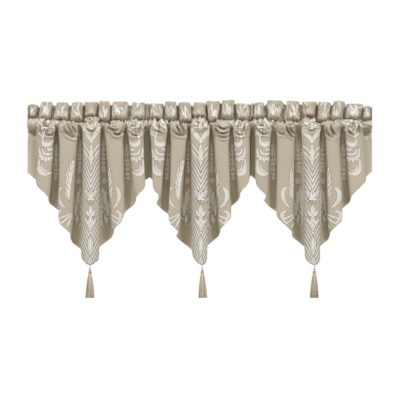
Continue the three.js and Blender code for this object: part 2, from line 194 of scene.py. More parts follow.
# Wandering of the frill along the cloth: its size, the length of its waves and its seed
STITCH_WANDER = (2.5, 23, 900)  # the stitches, up and down
EDGE_WANDER = (1.5, 17, 970)  # the edge, up and down
FRILL_SHIFT = (2.0, 38, 950)  # the whole frill, sideways
FRILL_TILT = (13, 52, 960)  # sideways, from the stitches to the edge
TILT_TAPER = 45  # beside the cloth's edges

# Puckers and creases
CREASE_DEPTH = 2.3
GATHERS = ((10, 0.8), (14, 1.4), (20, 2.0), (29, 2.0))  # pitch and height
GATHER_REACH = (17.0, 36.0)  # above and below the frill's stitches
SEAM_GATHERS = (0.3, 24)  # height of the gathers at the seam, as a share, and their reach
CRUMPLE = (4.4, 2.2, 4.8, 2.2, 4.4)  # on each pleat, with half of the recesses beside it
CRUMPLE_AT = (24, 34.0)  # middle below the frill's stitches, and reach
TUCK_SLANT = (-0.4, 0.4)  # of short grooves at the stitches
TUCK_LENGTH = (12, 38)
TUCK_ABOVE = 15
TUCK_DEPTH = (3.0, 8.0)
TUCK_WIDTH = (3.0, 4.6)
TUCK_SPACING = (10, 25)
TUCK_MARGIN = 6  # at the cloth's edges

# Places along the cloth, counted down from the height at which the figures start
FIGURE_ZERO = -31
SEAM_RUN = FIGURE_ZERO - SEAM
STITCH_RUN = -78
FRILL_RUN = -135
BACK_RUN = -286

# Damask: shapes on the half cloth, across from its middle line and down from the seam. The widths of
# a stroke are control values of the curve that its half-width follows.
Stroke = namedtuple("Stroke", "start pull_out pull_in end widths")
Frond = namedtuple("Frond", "start pull_out pull_in end lobes angle length width")
Fan = namedtuple("Fan", "across down leaves spread reach width")
Ring = namedtuple("Ring", "across down radius width")

STROKES = [
    # arms, spears, buds and tongues of the middle line
    ((0, 30), (6, 8), (17, -2), (28, -30), (2, 10, 4)),
    ((0, -50), (0, -42), (0, -34), (0, -20), (3, 9, 2)),
    ((4, 68), (12, 54), (20, 46), (26, 28), (1, 3.4, 1)),
    ((5, 88), (13, 74), (21, 64), (27, 48), (1, 3.4, 1)),
    ((0, 36), (0, 58), (0, 82), (0, 108), (1.5, 10.5, 1)),
    ((0, 243), (0, 252), (0, 266), (0, 280), (1.5, 10, 3)),
    ((3, 278), (8, 275), (11, 268), (12, 256), (1.5, 4.4, 1)),
    ((0, 284), (0, 296), (0, 308), (0, 328), (4, 14, 1)),
    ((4, 306), (10, 301), (13, 294), (14, 282), (1.2, 4, 1)),
    ((0, 346), (0, 362), (0, 380), (0, 408), (1, 14, 1)),
    ((0, 416), (0, 424), (0, 434), (0, 442), (1, 8, 4)),
    # crescents of the second pleat
    ((195, 182), (209, 196), (207, 230), (178, 250), (3.5, 10, 1)),
    ((193, 261), (210, 262), (209, 290), (188, 302), (3, 9, 1)),
    # stem and crescents of the outer pleat
    ((346, -50), (336, -30), (333, -6), (340, 26), (2, 6.5, 1)),
    ((340, 20), (336, 42), (313, 42), (306, 18), (1.5, 14, 1.5)),
    ((322, 47), (316, 56), (309, 55), (303, 45), (1, 7, 1)),
    ((338, 48), (337, 72), (320, 73), (303, 62), (1.2, 6.5, 1.2)),
    ((347, 46), (349, 86), (322, 89), (301, 76), (1.5, 8, 1.5)),
    ((346, 84), (350, 128), (336, 147), (303, 128), (1.5, 12, 2)),
    ((336, 98), (337, 120), (328, 131), (309, 120), (0.8, 4, 0.8)),
    # drops between the middle and the second pleat, and lines that leave the knot between them
    ((92, 250), (76, 236), (74, 204), (92, 180), (0.8, 3.4, 0.8)),
    ((92, 250), (108, 240), (110, 212), (98, 196), (0.8, 3.4, 0.8)),
    ((93, 242), (92, 232), (93, 220), (97, 210), (1, 4.5, 1)),
    ((92, 254), (78, 270), (78, 300), (92, 322), (0.8, 3.4, 0.8)),
    ((92, 254), (105, 268), (108, 288), (101, 310), (0.8, 3.4, 0.8)),
    ((93, 272), (92, 282), (92, 292), (95, 302), (1, 4.5, 1)),
    ((94, 251), (118, 240), (138, 246), (156, 262), (1.2, 4, 1)),
    ((94, 255), (114, 256), (132, 268), (144, 288), (1.2, 4.4, 1)),
    ((90, 251), (70, 244), (52, 242), (36, 250), (1.2, 4, 1)),
]
FRONDS = [
    # plume of the second pleat
    ((168, 226), (176, 186), (173, 134), (157, 78), 7, 17, 50, 3.3),
    # between the middle and the second pleat
    ((92, 118), (86, 92), (98, 66), (92, 20), 6, 50, 19, 6),
    # between the second and the outer pleat
    ((268, 158), (258, 116), (278, 70), (268, 16), 8, 50, 17, 5.5),
]
FANS = [
    (0, -22, 5, 70, 44, 5.0),  # crown
    (0, 222, 3, 27, 36, 8),  # flower of the middle line
    (0, 226, 5, 72, 14, 4),
    (152, 254, 7, 58, -72, 5),  # under the plume of the second pleat
]
# Flowers, with their petals and radius
FLOWERS = [(0, -66, 5, 5), (311, -28, 7, 8), (348, -62, 5, 5), (318, -66, 5, 5)]
# Spots, with their radius
SPOTS = [
    (90, 122, 9.5), (94, 158, 9.5), (104, 140, 3), (80, 141, 3), (0, 234, 1.9), (6.5, 234, 1.9),
    (13, 234, 1.9), (345, 75, 3.6), (337, 85, 4), (325, 90, 4), (313, 88, 3.6), (304, 82, 3.2),
]
# Bands of upright scrolls: the first and last place across, the top and bottom run, and the pitch
SCROLL_BANDS = [
    (46, 408, -137, -78, 7.6),
    (298, 362, -76, 4, 11.5),
    (64, 122, -20, 116, 10.0),
    (74, 112, 168, 336, 12.0),
    (250, 286, -20, 150, 10.0),
    (244, 292, -78, -12, 8.0),
]
SCROLL_WARP = 4.0  # how far the frill's scrolls are drawn out of shape
FIGURE_WARP = 1.3  # and the other figures
RECESS_SHOWS = (-268, -92, 92, 268)  # part of the cloth at the back of each recess
FIGURES_AT = 0.4  # share of the drop at which the figures keep their true width
FACE_REACH = 1.4  # points of the plan outline beside a face's middle where they keep it
RECESS_REACH = 0.6
FACE_END = 1.9  # points beside its middle where a face ends
CORNER_END = 2.6  # and where its corner ends
FACE_FADE = 0.8
CHEVRONS_FROM = 72  # on the middle line, under the arms
CHEVRON_RUNS = ((-40, 247), (257, 480))  # above and below a plain break
PLUME_HALF_WIDTH = 32
PLUME_EDGE = 25  # over which the chevrons fade at both sides
CHEVRON_PITCH = 19.5
CHEVRON_SLOPES = (2.3, 2.9)  # under the heading and at the point
CHEVRON_FULLNESS = (-0.15, 0.7)  # at the sides and on the middle line
FIELD_ROOM = 12  # around a shape, where distances to it are measured
FIELD_LIMIT = 40.0  # distance from all shapes that counts as far away
HEM_STITCHES = 13  # above the hem
STITCH_PITCH = 4.2  # along the hem
VEIN_PITCH = 4.4  # between the fine ground lines inside a figure

# Tassel
CORD_LENGTH = 12
CORD_TWIST = 5.5  # length of a full turn
CORD_PLY = (0.66, 0.7)  # a ply's distance from the cord's axis, and its radius
HEAD = [  # distances below the point, and radii
    (10.5, 1.4), (12.5, 2.6), (14.5, 3.3), (16.5, 2.8), (18.0, 2.2), (19.5, 3.8), (21.5, 5.1),
    (24.0, 5.5), (26.5, 4.9), (28.0, 4.2),
]
HEAD_SIDES = 48
HEAD_RIDGES = (12, 0.06, 1.5)  # of wound yarn: their number, height and slant
HEAD_SHADE = 0.12  # from 0, the darkest yarn, to 1
NECK = (27.2, 30.6)  # below the point
NECK_TURNS = 4
NECK_THREAD = (4.5, 0.62)  # distance from the axis, and radius
TUBE_SIDES = 6
TASSEL_LENGTH = 111
STRANDS = 230
STRAND_RADIUS = 0.72
STRAND_ENDS = (-4.1, 0)  # past the tassel's full length
STRAND_ROOT = (0, 2, 5, 9)  # first rings, below the root
STRAND_RINGS = (15.5, 8)  # where the even rings start, and their number
SKIRT_SPREAD = [(28.0, 3.6), (31.0, 5.2), (37.0, 7.0), (70.0, 11.6), (111.0, 14.9)]  # as HEAD
GOLDEN_ANGLE = math.pi * (3 - math.sqrt(5))

# Colours and surfaces
ClothLook = namedtuple("ClothLook", "ground figure roughness specular")
FACE_LOOK = ClothLook((0.450, 0.399, 0.309, 1), (0.69, 0.672, 0.62, 1), 0.44, 0.4)
REVERSE_LOOK = ClothLook((0.56, 0.52, 0.44, 1), (0.44, 0.39, 0.30, 1), 0.62, 0.3)
FIGURE_ROUGHNESS = 0.66
FIGURE_EDGE_SHADE = 0.76  # of the ground beside a figure
CHEVRON_SHADE = 0.43  # of the ground between chevrons
STITCH_SHADE = 0.78
SHEEN_TINT = (0.9, 0.72, 0.48, 1)
SLUBS = (1400, 90, 1)  # to a metre, across and along the cloth
SLUB_SHADES = (0.95, 1.04)
WEAVE_PITCH = (1.1, 1.6)  # across and along the cloth
YARN_DARK = (0.36, 0.30, 0.22, 1)
YARN_LIGHT = (0.80, 0.70, 0.56, 1)
# painted shade: the colour that darkens the yarn in the grooves of its twist
YARN_GROOVE_SHADE = (0.76, 0.74, 0.70, 1)
YARN_GIRTH = 4.0  # around a thread, on its UV map
YARN_TWIST = 3.4  # length of a full turn
WHITE = (1, 1, 1, 1)

# Photograph, in metres
PHOTO_WIDTH = 1.356  # across the picture, at the cloth
PHOTO_CENTRE = (0.0017, -0.254)
CAMERA_DISTANCE = 8.0
CLOTH_FRONT = 0.02  # in front of the rod's axis
SENSOR = 36  # millimetres
FLOOR = -1.1
LIGHT_AIM = (0, 0, -0.2)
ROOM_GLOW = 0.33  # light from the room, as a share of the white wall behind
LOW_GLOW = 0.2  # share of it that comes from below
ROOM_COLOUR = (1.0, 0.94, 0.85, 1)
SIDE_COLOUR = (0.93, 0.955, 1.0)
FRONT_COLOUR = (1.0, 0.84, 0.58)


# Small helpers

def mix(a, b, t):
    return a + (b - a) * t


def ease(t):
    t = np.clip(t, 0, 1)
    return t * t * (3 - 2 * t)


def bell(t):
    return np.exp(-(t**2))


def running(steps):
    """Sums of the steps so far, from 0."""
    return np.concatenate([[0], np.cumsum(steps)])


def unit(v):
    return v / np.maximum(np.linalg.norm(v, axis=-1, keepdims=True), 1e-9)


def bezier(points, s):
    """Points of the curve with any number of control points."""
    degree = len(points) - 1
    s = np.asarray(s)[:, None]
    total = 0
    for i, point in enumerate(points):
        weight = math.comb(degree, i) * s**i * (1 - s) ** (degree - i)
        total = total + weight * np.array(point, float)
    return total


def soft_noise(u, t, cell_u, cell_t, seed):
    """Soft random field from -1 to 1 over the cloth, whose middle is in cell 60 of 160."""
    grid = np.random.default_rng(seed).uniform(-1, 1, (160, 160))
    a, b = u / cell_u + 60.0, t / cell_t + 60.0
    i, j = np.floor(a).astype(int), np.floor(b).astype(int)
    fa, fb = ease(a - i), ease(b - j)
    upper = mix(grid[i, j], grid[i + 1, j], fa)
    lower = mix(grid[i, j + 1], grid[i + 1, j + 1], fa)
    return mix(upper, lower, fb)


def through(table, per_span):
    """Rows of a table with smooth ones between them."""
    table = np.array(table, float)
    padded = np.vstack([2 * table[0] - table[1], table, 2 * table[-1] - table[-2]])
    rows = []
    for i in range(len(table) - 1):
        a, b, c, d = padded[i : i + 4]
        for t in np.arange(per_span) / per_span:
            rows.append(
                b + 0.5 * t * (c - a + t * (2 * a - 5 * b + 4 * c - d + t * (3 * (b - c) + d - a)))
            )
    rows.append(table[-1])
    return np.array(rows)


def new_object(name, data):
    item = bpy.data.objects.new(name, data)
    bpy.context.scene.collection.objects.link(item)
    return item


def mesh_object(name, points, faces, uv, attributes, materials, face_material):
    """A smooth mesh from arrays in millimetres, with a UV map in metres."""
    mesh = bpy.data.meshes.new(name)
    mesh.from_pydata((points * METRE).tolist(), [], faces.tolist())
    layer = mesh.uv_layers.new(name="cloth")
    layer.data.foreach_set("uv", (uv[faces.ravel()] * METRE).astype(np.float32).ravel())
    for key, values in attributes.items():
        layer = mesh.attributes.new(key, "FLOAT", "POINT")
        layer.data.foreach_set("value", values.astype(np.float32))
    for material in materials:
        mesh.materials.append(material)
    mesh.polygons.foreach_set("material_index", face_material.astype(np.int32))
    mesh.polygons.foreach_set("use_smooth", np.ones(len(faces), bool))
    mesh.update()
    return new_object(name, mesh)


# The cloth's folds

def pleat_plan(valance, down, flaps=0, run=WALL_RUN, flap_depth=1, shoulder=0):
    """Plan outline of the pleats at a share of the drop: X, and 0 in a recess to 1 on a full pleat's
    face. `flaps` is how far recesses are filled and edges lie over their neighbours, `run` the slope of
    the folds' sides, `flap_depth` the end flaps' share of their depth, and `shoulder` how far the
    faces' sides are drawn in."""
    run = run * (1 - down)
    over = mix(OVERLAP_AT_TOP, 1, flaps)
    edges = [edge + reach * over for edge, reach in zip(valance["edges"], valance["overlap"])]
    edge_front = [front * flap_depth for front in valance["edge_front"]]
    points = [(edges[0], edge_front[0])]
    for i, pleat in enumerate(valance["pleats"]):
        crest = valance["crest"] if i == MIDDLE_PLEAT else 0
        left, right = (mix(a, b, down) for a, b in zip(pleat.top, pleat.hem))
        floor_left, floor_right = (flaps * floor for floor in valance["valleys"][i : i + 2])
        points += [
            (left - run, floor_left),
            (left + shoulder / 2 + pleat.tucks[0] * down, max(pleat.front * TUCK_AT, floor_left)),
            (left + shoulder + run, pleat.front),
            ((left + right) / 2 + crest, pleat.front + PLEAT_CROWN),
            (right - shoulder - run, pleat.front),
            (right - shoulder / 2 - pleat.tucks[1] * down, max(pleat.front * TUCK_AT, floor_right)),
            (right + run, floor_right),
        ]
    points.append((edges[1], edge_front[1]))
    return np.array(points, float)


def frill_plan(valance):
    """Plan outline of the frill, with the heights of its edge and of its stitches."""
    ridges = valance["frill"]
    points = [(valance["edges"][0], FRILL_END, *ridges[0][2:])]
    for left, right, top, base in ridges:
        for x, wave in (
            (left - WALL_RUN, 0),
            (left + WALL_RUN, FRILL_SHOULDER),
            ((left + right) / 2, FRILL_CROWN),
            (right - WALL_RUN, FRILL_SHOULDER),
            (right + WALL_RUN, 0),
        ):
            points.append((x, wave, top, base))
    points.append((valance["edges"][1], FRILL_END, *ridges[-1][2:]))
    return np.array(points, float)


def rounded(points, at):
    """Quadratic B-spline that starts and ends at the outline's own ends."""
    spans = len(points) - 2
    place = np.minimum(at * spans, spans - 1e-9)
    span = np.floor(place).astype(int)
    t = (place - span)[:, None]
    joints = (points[:-1] + points[1:]) / 2
    joints[0], joints[-1] = points[0], points[-1]
    corner = 2 * t * (1 - t) * points[span + 1]
    return (1 - t) ** 2 * joints[span] + corner + t**2 * joints[span + 1]


def cloth_shares(points, depth, at):
    """Share of the cloth's width to the left of each curve parameter."""
    curve = rounded(points, at)
    along = running(np.hypot(np.diff(curve[:, 0]), np.diff(curve[:, 1]) * depth))
    return along / along[-1]


def face_middle(pleat):
    """Place of a pleat's middle along the plan outline, counted in its points."""
    return FIRST_FACE + PLEAT_POINTS * pleat


class Columns:
    """The cloth's columns, closer on the faces than on the walls, and where they go in the folds."""

    def __init__(self, valance):
        fine = np.linspace(0, 1, 2001)
        self.pleats = valance["pleats"]
        plan = pleat_plan(valance, 1)
        hem = cloth_shares(plan, HEM_DEPTH[1] - HEM_DEPTH[0], fine)
        seen = running(np.abs(np.diff(rounded(plan, fine)[:, 0])))
        crowded = mix(hem, seen / seen[-1], FACE_CROWDING)
        share = np.interp(np.linspace(0, 1, COLUMNS), crowded, hem)
        self.pleat_at = np.interp(share, hem, fine)
        frill = frill_plan(valance)
        frill_shares = cloth_shares(frill, FRILL_SECTION[0][2] - FRILL_SECTION[0][1], fine)
        self.frill = rounded(frill, np.interp(share, frill_shares, fine))
        middle = np.interp(0.5, fine, hem)
        onward = (share - middle) / np.where(share < middle, middle, 1 - middle)
        self.across = onward * CLOTH_WIDTH / 2
        side = np.where(onward < 0, *valance["side_hem"])
        away = np.hypot(onward, POINT_ROUNDING) - POINT_ROUNDING
        full = math.hypot(1, POINT_ROUNDING) - POINT_ROUNDING
        self.hem = mix(POINT, side, away / full)
        self.outline_at = self.pleat_at * (PLEAT_POINTS * len(self.pleats)) + 0.5
        hanging = rounded(pleat_plan(valance, FIGURES_AT), self.pleat_at)
        self.pattern = self.pattern_places(hanging[:, 0])

    def pattern_places(self, x):
        """Where each column lies in the damask: true to size on the faces and at the backs of the
        recesses, and eased along the walls between them."""
        places = [(face_middle(i), FACE_REACH, pleat.shows) for i, pleat in enumerate(self.pleats)]
        for i, shows in enumerate(RECESS_SHOWS):
            places.append((face_middle(i) + PLEAT_POINTS / 2, RECESS_REACH, shows))
        order = np.arange(COLUMNS)
        known, shown = [0], [-CLOTH_WIDTH / 2]
        for middle, reach, shows in sorted(places):
            ends = np.interp([middle - reach, middle + reach], self.outline_at, order)
            half = np.diff(np.interp(ends, order, x))[0] / 2
            known += list(ends)
            shown += [shows - half, shows + half]
        known.append(COLUMNS - 1)
        shown.append(CLOTH_WIDTH / 2)
        return np.interp(order, known, shown)

    def corner_pull(self):
        """Sideways pull of the hem at the corners of the pleats, towards their middles."""
        pull = np.zeros(COLUMNS)
        for i in range(len(self.pleats)):
            away = self.outline_at - face_middle(i)
            away, side = np.abs(away), np.sign(away)
            pull -= side * ease(away) * ease((CORNER_END - away) / FACE_FADE)
        return HEM_CURL * pull

    def on_face(self, pleat):
        """1 on a pleat's face, 0 beyond its sides."""
        away = np.abs(self.outline_at - face_middle(pleat))
        return ease((FACE_END - away) / FACE_FADE)

    def crumple(self):
        """How much each column is crumpled under the frill's stitches."""
        pleat = np.round((self.outline_at - face_middle(0)) / PLEAT_POINTS)
        return np.array(CRUMPLE)[np.clip(pleat, 0, len(CRUMPLE) - 1).astype(int)]


def plan_shift(row, distance):
    """Points moved square to their row's outline in plan, to the front for a positive distance."""
    along = unit(np.gradient(row[:, :2], axis=0))
    moved = row.copy()
    moved[:, 0] += along[:, 1] * distance
    moved[:, 1] -= along[:, 0] * distance
    return moved


def cloth_rows(valance, columns):
    """Middle surface of the cloth, from the pocket's back seam over the frill and down to the hem,
    and for each point its place along the cloth."""
    top_pleats, pocket_pleats, seam_pleats = (
        rounded(pleat_plan(valance, 0, 0, POCKET_RUN, flap, shoulder), columns.pleat_at)
        for flap, shoulder in ((1, POCKET_SHOULDER), (1, 0), (SEAM_FLAP, 0))
    )
    frill_x, frill_wave, frill_top, stitches = columns.frill.T

    def section(recess, ridge, skirt, height):
        skirt = np.clip(skirt, 0, 1)
        level = np.mean(height)
        pleats = mix(pocket_pleats, seam_pleats, ease((SEAM_DRAW[0] - level) / SEAM_DRAW[1]))
        pleats = mix(pleats, top_pleats, ease((level - STITCH_DRAW[0]) / STITCH_DRAW[1]))
        x = mix(frill_x, pleats[:, 0], skirt)
        wave = mix(frill_wave, pleats[:, 1], skirt)
        return np.column_stack([x, -mix(recess, ridge, wave), np.broadcast_to(height, x.shape)])

    def wander(size, cell, seed):
        level = np.zeros(COLUMNS)
        return size * soft_noise(columns.across, level, cell, cell, valance["x"] + seed)

    frill_edge = frill_top - (LAYERS + CLOTH) / 2 - FRILL_SAG * (1 - ease(frill_wave / SAG_UNDER))
    stitches = stitches + wander(*STITCH_WANDER)
    frill_edge = frill_edge + wander(*EDGE_WANDER)
    frill_x = frill_x + wander(*FRILL_SHIFT)
    inside = ease((CLOTH_WIDTH / 2 - np.abs(columns.across)) / TILT_TAPER)
    tilt = inside * wander(*FRILL_TILT)

    def frill_row(up, recess, ridge):
        row = section(recess, ridge, 0, mix(stitches, frill_edge, up))
        row[:, 0] += tilt * (up - 0.5)
        return row

    rows, runs = [], []

    def add(row, run):
        rows.append(row)
        runs.append(np.broadcast_to(run, COLUMNS))

    back = through(POCKET_BACK, BACK_ROWS)
    back_stitches, back_edge = 2 * FRILL_RUN - STITCH_RUN, FRILL_RUN - FOLD_RUN
    for i, (height, recess, ridge, skirt) in enumerate(back[:-1]):
        run = mix(BACK_RUN, back_stitches, i / (len(back) - 1))
        add(section(recess, ridge, skirt, height), run)
    frill = through(FRILL_SECTION, FRONT_ROWS)
    edge = frill_row(*frill[0])
    for up, recess, ridge in through(FRILL_SECTION, BACK_ROWS)[::-1][:-1]:
        row = plan_shift(frill_row(up, recess, ridge), -LAYERS / 2)
        add(row, mix(back_stitches, back_edge, up))
    for turn in np.radians([0, 45, 90, 135, 180]):
        row = plan_shift(edge, -LAYERS / 2 * math.cos(turn))
        row[:, 2] += LAYERS / 2 * math.sin(turn)
        add(row, mix(back_edge, FRILL_RUN, turn / math.pi))
    for up, recess, ridge in frill[1:-1]:
        row = plan_shift(frill_row(up, recess, ridge), LAYERS / 2)
        add(row, mix(STITCH_RUN, FRILL_RUN, up))
    front = through(POCKET_FRONT, FRONT_ROWS)
    for i, (height, recess, ridge, skirt) in enumerate(front[:-1]):
        pulled = ease((height - STITCH_PULL) / (FRILL_STITCHES - STITCH_PULL))
        height = height + (stitches - FRILL_STITCHES) * pulled
        run = mix(STITCH_RUN, SEAM_RUN, i / (len(front) - 1))
        add(section(recess, ridge, skirt, height), run)
    for down in np.linspace(0, 1, SKIRT_ROWS) ** SKIRT_CROWDING:
        run = mix(POCKET_RUN, WALL_RUN, ease(down / WALL_OPENING))
        flaps = ease(down / FLAP_OPENING)
        plan = pleat_plan(valance, down, flaps, run, mix(SEAM_FLAP, 1, flaps))
        x, wave = rounded(plan, columns.pleat_at).T
        opened = ease(down / PLEAT_OPENING)
        recess, ridge = (mix(a, b, opened) for a, b in zip(SEAM_DEPTH, HEM_DEPTH))
        z = mix(SEAM, columns.hem, down)
        above_hem = z - columns.hem
        recess = recess + HEM_FLARE * opened * np.exp(-above_hem / HEM_FLARE_HEIGHT)
        x = x + columns.corner_pull() * np.exp(-above_hem / HEM_CURL_HEIGHT)
        add(np.column_stack([x, -mix(recess, ridge, wave), z]), FIGURE_ZERO - z)
    return np.array(rows), np.array(runs)


def surface_normals(points):
    """Outward normals of a grid whose rows run down the front."""
    return unit(np.cross(np.gradient(points, axis=0), np.gradient(points, axis=1)))


def crease_relief(points, crease):
    """Soft trough along a curve in X and Z, with a low lip on both sides."""
    *controls, width, depth = crease
    s = np.linspace(0, 1, 25)
    path = bezier(np.reshape(controls, (3, 2)), s)
    flat = points[..., [0, 2]]
    near = np.full(flat.shape[:2], np.inf)
    where = np.zeros(flat.shape[:2])
    for share, place in zip(s, path):
        distance = np.linalg.norm(flat - place, axis=-1)
        closer = distance < near
        near = np.where(closer, distance, near)
        where = np.where(closer, share, where)
    taper = 0.25 + 0.75 * np.sin(np.pi * where)
    trough = bell(near / width)
    lip = bell((near - 2 * width) / width)
    return CREASE_DEPTH * depth * taper * (0.5 * lip - trough)


def gather_tucks(across, runs, rng):
    """Short grooves that run down and up from the frill's stitches, unevenly spaced."""
    total = np.zeros(runs.shape)
    below = runs - STITCH_RUN
    end = CLOTH_WIDTH / 2 - TUCK_MARGIN
    place = -end
    while place < end:
        slant, length = rng.uniform(*TUCK_SLANT), rng.uniform(*TUCK_LENGTH)
        depth, width = rng.uniform(*TUCK_DEPTH), rng.uniform(*TUCK_WIDTH)
        aside = across - place - slant * below
        fade = bell(below / np.where(below > 0, length, TUCK_ABOVE))
        total -= depth * fade * bell(aside / width)
        place += rng.uniform(*TUCK_SPACING)
    return total


def relief(valance, columns, points, runs, seed):
    """Height of puckers, creases and unevenness above the plain folds."""
    across = np.broadcast_to(columns.across, runs.shape)
    rng = np.random.default_rng(seed)

    def rough(cell_u, cell_t):
        return soft_noise(across, runs, cell_u, cell_t, rng.integers(1 << 30))

    def crumpled(cell_u, cell_t):
        return 2 * np.abs(rough(cell_u, cell_t)) - 0.8

    gathers = np.zeros(runs.shape)
    for pitch, height in GATHERS:
        slant = rng.uniform(-0.03, 0.03)
        gathers += height * np.sin(TURN * (across / pitch) + 5 * rough(60, 90) + slant * runs)
    patchy = 0.75 + 0.5 * rough(34, 60)
    below = runs - STITCH_RUN
    at_stitches = bell(below / np.where(below < 0, *GATHER_REACH))
    at_seam = SEAM_GATHERS[0] * bell(runs / SEAM_GATHERS[1])
    total = gathers * patchy * (at_stitches + at_seam) + gather_tucks(across, runs, rng)
    bunched = bell((below - CRUMPLE_AT[0]) / CRUMPLE_AT[1]) * columns.crumple()
    total += bunched * crumpled(13, 15) + bunched * 0.6 * crumpled(8, 9)
    above_hem = np.maximum(FIGURE_ZERO - runs - columns.hem, 0)
    for cell_u, cell_t, height in (
        (46, 130, 2.2 * ease((runs - 10) / 120)),  # swells of the hanging cloth
        (16, 40, 0.5),  # small ones all over
        (24, 400, 2.2 * np.exp(-above_hem / 12)),  # waves of the hem
    ):
        total += height * rough(cell_u, cell_t)
    front = runs > STITCH_RUN
    for crease in valance["creases"]:
        middle = (crease[0] + crease[4]) / 2
        reach = [abs(middle - sum(p.top) / 2) for p in valance["pleats"]]
        total += crease_relief(points, crease) * columns.on_face(int(np.argmin(reach))) * front
    return total


# The damask

def stroke_field(u, t, stroke):
    """Signed distance to a stroke that swells between its ends, negative inside."""
    s = np.linspace(0, 1, 13)
    path = bezier(stroke[:4], s)
    radius = bezier([(w,) for w in stroke.widths], s)[:, 0]
    field = np.full(u.shape, np.inf)
    for (x, y), (dx, dy), r, grows in zip(path, np.diff(path, axis=0), radius, np.diff(radius)):
        share = np.clip(((u - x) * dx + (t - y) * dy) / max(dx * dx + dy * dy, 1e-9), 0, 1)
        away = np.hypot(u - x - share * dx, t - y - share * dy)
        field = np.minimum(field, away - r - share * grows)
    return field


def ring_field(u, t, ring):
    return np.abs(np.hypot(u - ring.across, t - ring.down) - ring.radius) - ring.width / 2


def fan_strokes(fan):
    """Leaves that open like a fan from one point; a negative reach opens it downwards."""
    for turn in np.radians(np.linspace(-fan.spread, fan.spread, fan.leaves)):
        leaf = []
        for out, bent in ((0.2, 0.8), (0.5, 0.75), (0.8, 0.92), (1.0, 1.06)):
            angle, reach = turn * bent, fan.reach * out
            leaf.append((fan.across + reach * math.sin(angle), fan.down - reach * math.cos(angle)))
        yield Stroke(*leaf, (0.8, fan.width, 0.6))


def frond_strokes(frond):
    """A curved leaf with lobes on both sides of its rib."""
    yield Stroke(*frond[:4], (1.2, 0.6 * frond.width, 0.8))
    share = np.linspace(0, 1, 41)
    rib = bezier(frond[:4], share)
    along = unit(np.gradient(rib, axis=0))
    lean = math.radians(frond.angle)
    for at in np.linspace(0.04, 0.86, frond.lobes):
        i = int(round(at * 40))
        length = frond.length * (0.55 + 0.9 * at * (1 - at)) * min(1, 2.4 * (1.05 - at))
        for side in (-1, 1):
            square = np.array([-along[i][1], along[i][0]]) * side
            reach = along[i] * math.cos(lean) + square * math.sin(lean)
            tip = along[i] * math.cos(lean * 0.6) + square * math.sin(lean * 0.6)
            bend = rib[i] + reach * length * 0.7
            lobe = [rib[i], rib[i] + reach * length * 0.4, bend, bend + tip * length * 0.3]
            yield Stroke(*lobe, (0.8, frond.width, 0.6))


def flower_rings(across, down, petals, radius):
    """A ring with a dot in it and round petals about it."""
    yield Ring(across, down, radius * 0.72, radius * 0.42)
    yield Ring(across, down, 0, radius * 0.5)
    for turn in np.arange(petals) * TURN / petals:
        reach = radius * 1.75
        yield Ring(across + reach * math.sin(turn), down - reach * math.cos(turn), 0, radius * 1.3)


def scroll_strokes(rng, left, right, top, bottom, pitch):
    """Upright, wavy scrolls in a band of the cloth."""
    for place in np.arange(left, right, pitch):
        x = place + rng.uniform(-2.5, 2.5)
        start = mix(top, bottom, rng.uniform(-0.03, 0.45))
        length = (bottom - top) * rng.uniform(0.28, 0.72)
        sway = rng.uniform(-17, 17)
        width = rng.uniform(2.5, 7.5)
        yield Stroke(
            (x, start),
            (x + sway, start + length / 3),
            (x - sway, start + length * 2 / 3),
            (x + rng.uniform(-4, 4), start + length),
            (1.2, width, 1.2),
        )


def figure_strokes():
    """All strokes of the figures, single ones and those of the leaves, fans and scrolls."""
    for stroke in STROKES:
        yield Stroke(*stroke)
    for frond in FRONDS:
        yield from frond_strokes(Frond(*frond))
    for fan in FANS:
        yield from fan_strokes(Fan(*fan))
    rng = np.random.default_rng(5)
    for band in SCROLL_BANDS:
        yield from scroll_strokes(rng, *band)


def figure_rings():
    """All rings of the figures; a spot is a ring of no radius."""
    for across, down, radius in SPOTS:
        yield Ring(across, down, 0, 2 * radius)
    for flower in FLOWERS:
        yield from flower_rings(*flower)


def damask_fields(columns, runs, seed):
    """Signed distances to the white figures and to the chevron runs, and the chevrons' phase."""
    on_frill = ease((STITCH_RUN + 6 - runs) / 12)
    place = mix(columns.pattern, columns.across, on_frill)
    warp = mix(FIGURE_WARP * ease((np.abs(place) - 30) / 20), SCROLL_WARP, on_frill)
    u = np.abs(place + warp * soft_noise(place, runs, 12, 12, seed))
    t = runs + warp * soft_noise(place, runs, 12, 12, seed + 1)
    field = np.full(u.shape, FIELD_LIMIT)

    def lay(shape, distance_to, low, high):
        near = (u > low[0]) & (u < high[0]) & (t > low[1]) & (t < high[1])
        field[near] = np.minimum(field[near], distance_to(u[near], t[near], shape))

    for stroke in figure_strokes():
        ends = np.array(stroke[:4])
        room = max(stroke.widths) + FIELD_ROOM
        lay(stroke, stroke_field, ends.min(0) - room, ends.max(0) + room)
    for ring in figure_rings():
        room = ring.radius + ring.width + FIELD_ROOM
        middle = np.array([ring.across, ring.down])
        lay(ring, ring_field, middle - room, middle + room)
    slope = mix(*CHEVRON_SLOPES, ease((runs - 200) / 140))
    rib = runs + slope * u
    plume = np.full(u.shape, np.inf)
    for top, bottom in CHEVRON_RUNS:
        along = np.maximum(top - runs, runs - bottom)
        plume = np.minimum(plume, np.maximum(u - PLUME_HALF_WIDTH, along))
    plume = np.maximum(plume, (CHEVRONS_FROM - rib) / (1 + slope))
    return dict(motif=field, plume=np.minimum(plume, FIELD_LIMIT), rib=rib)


# Pieces

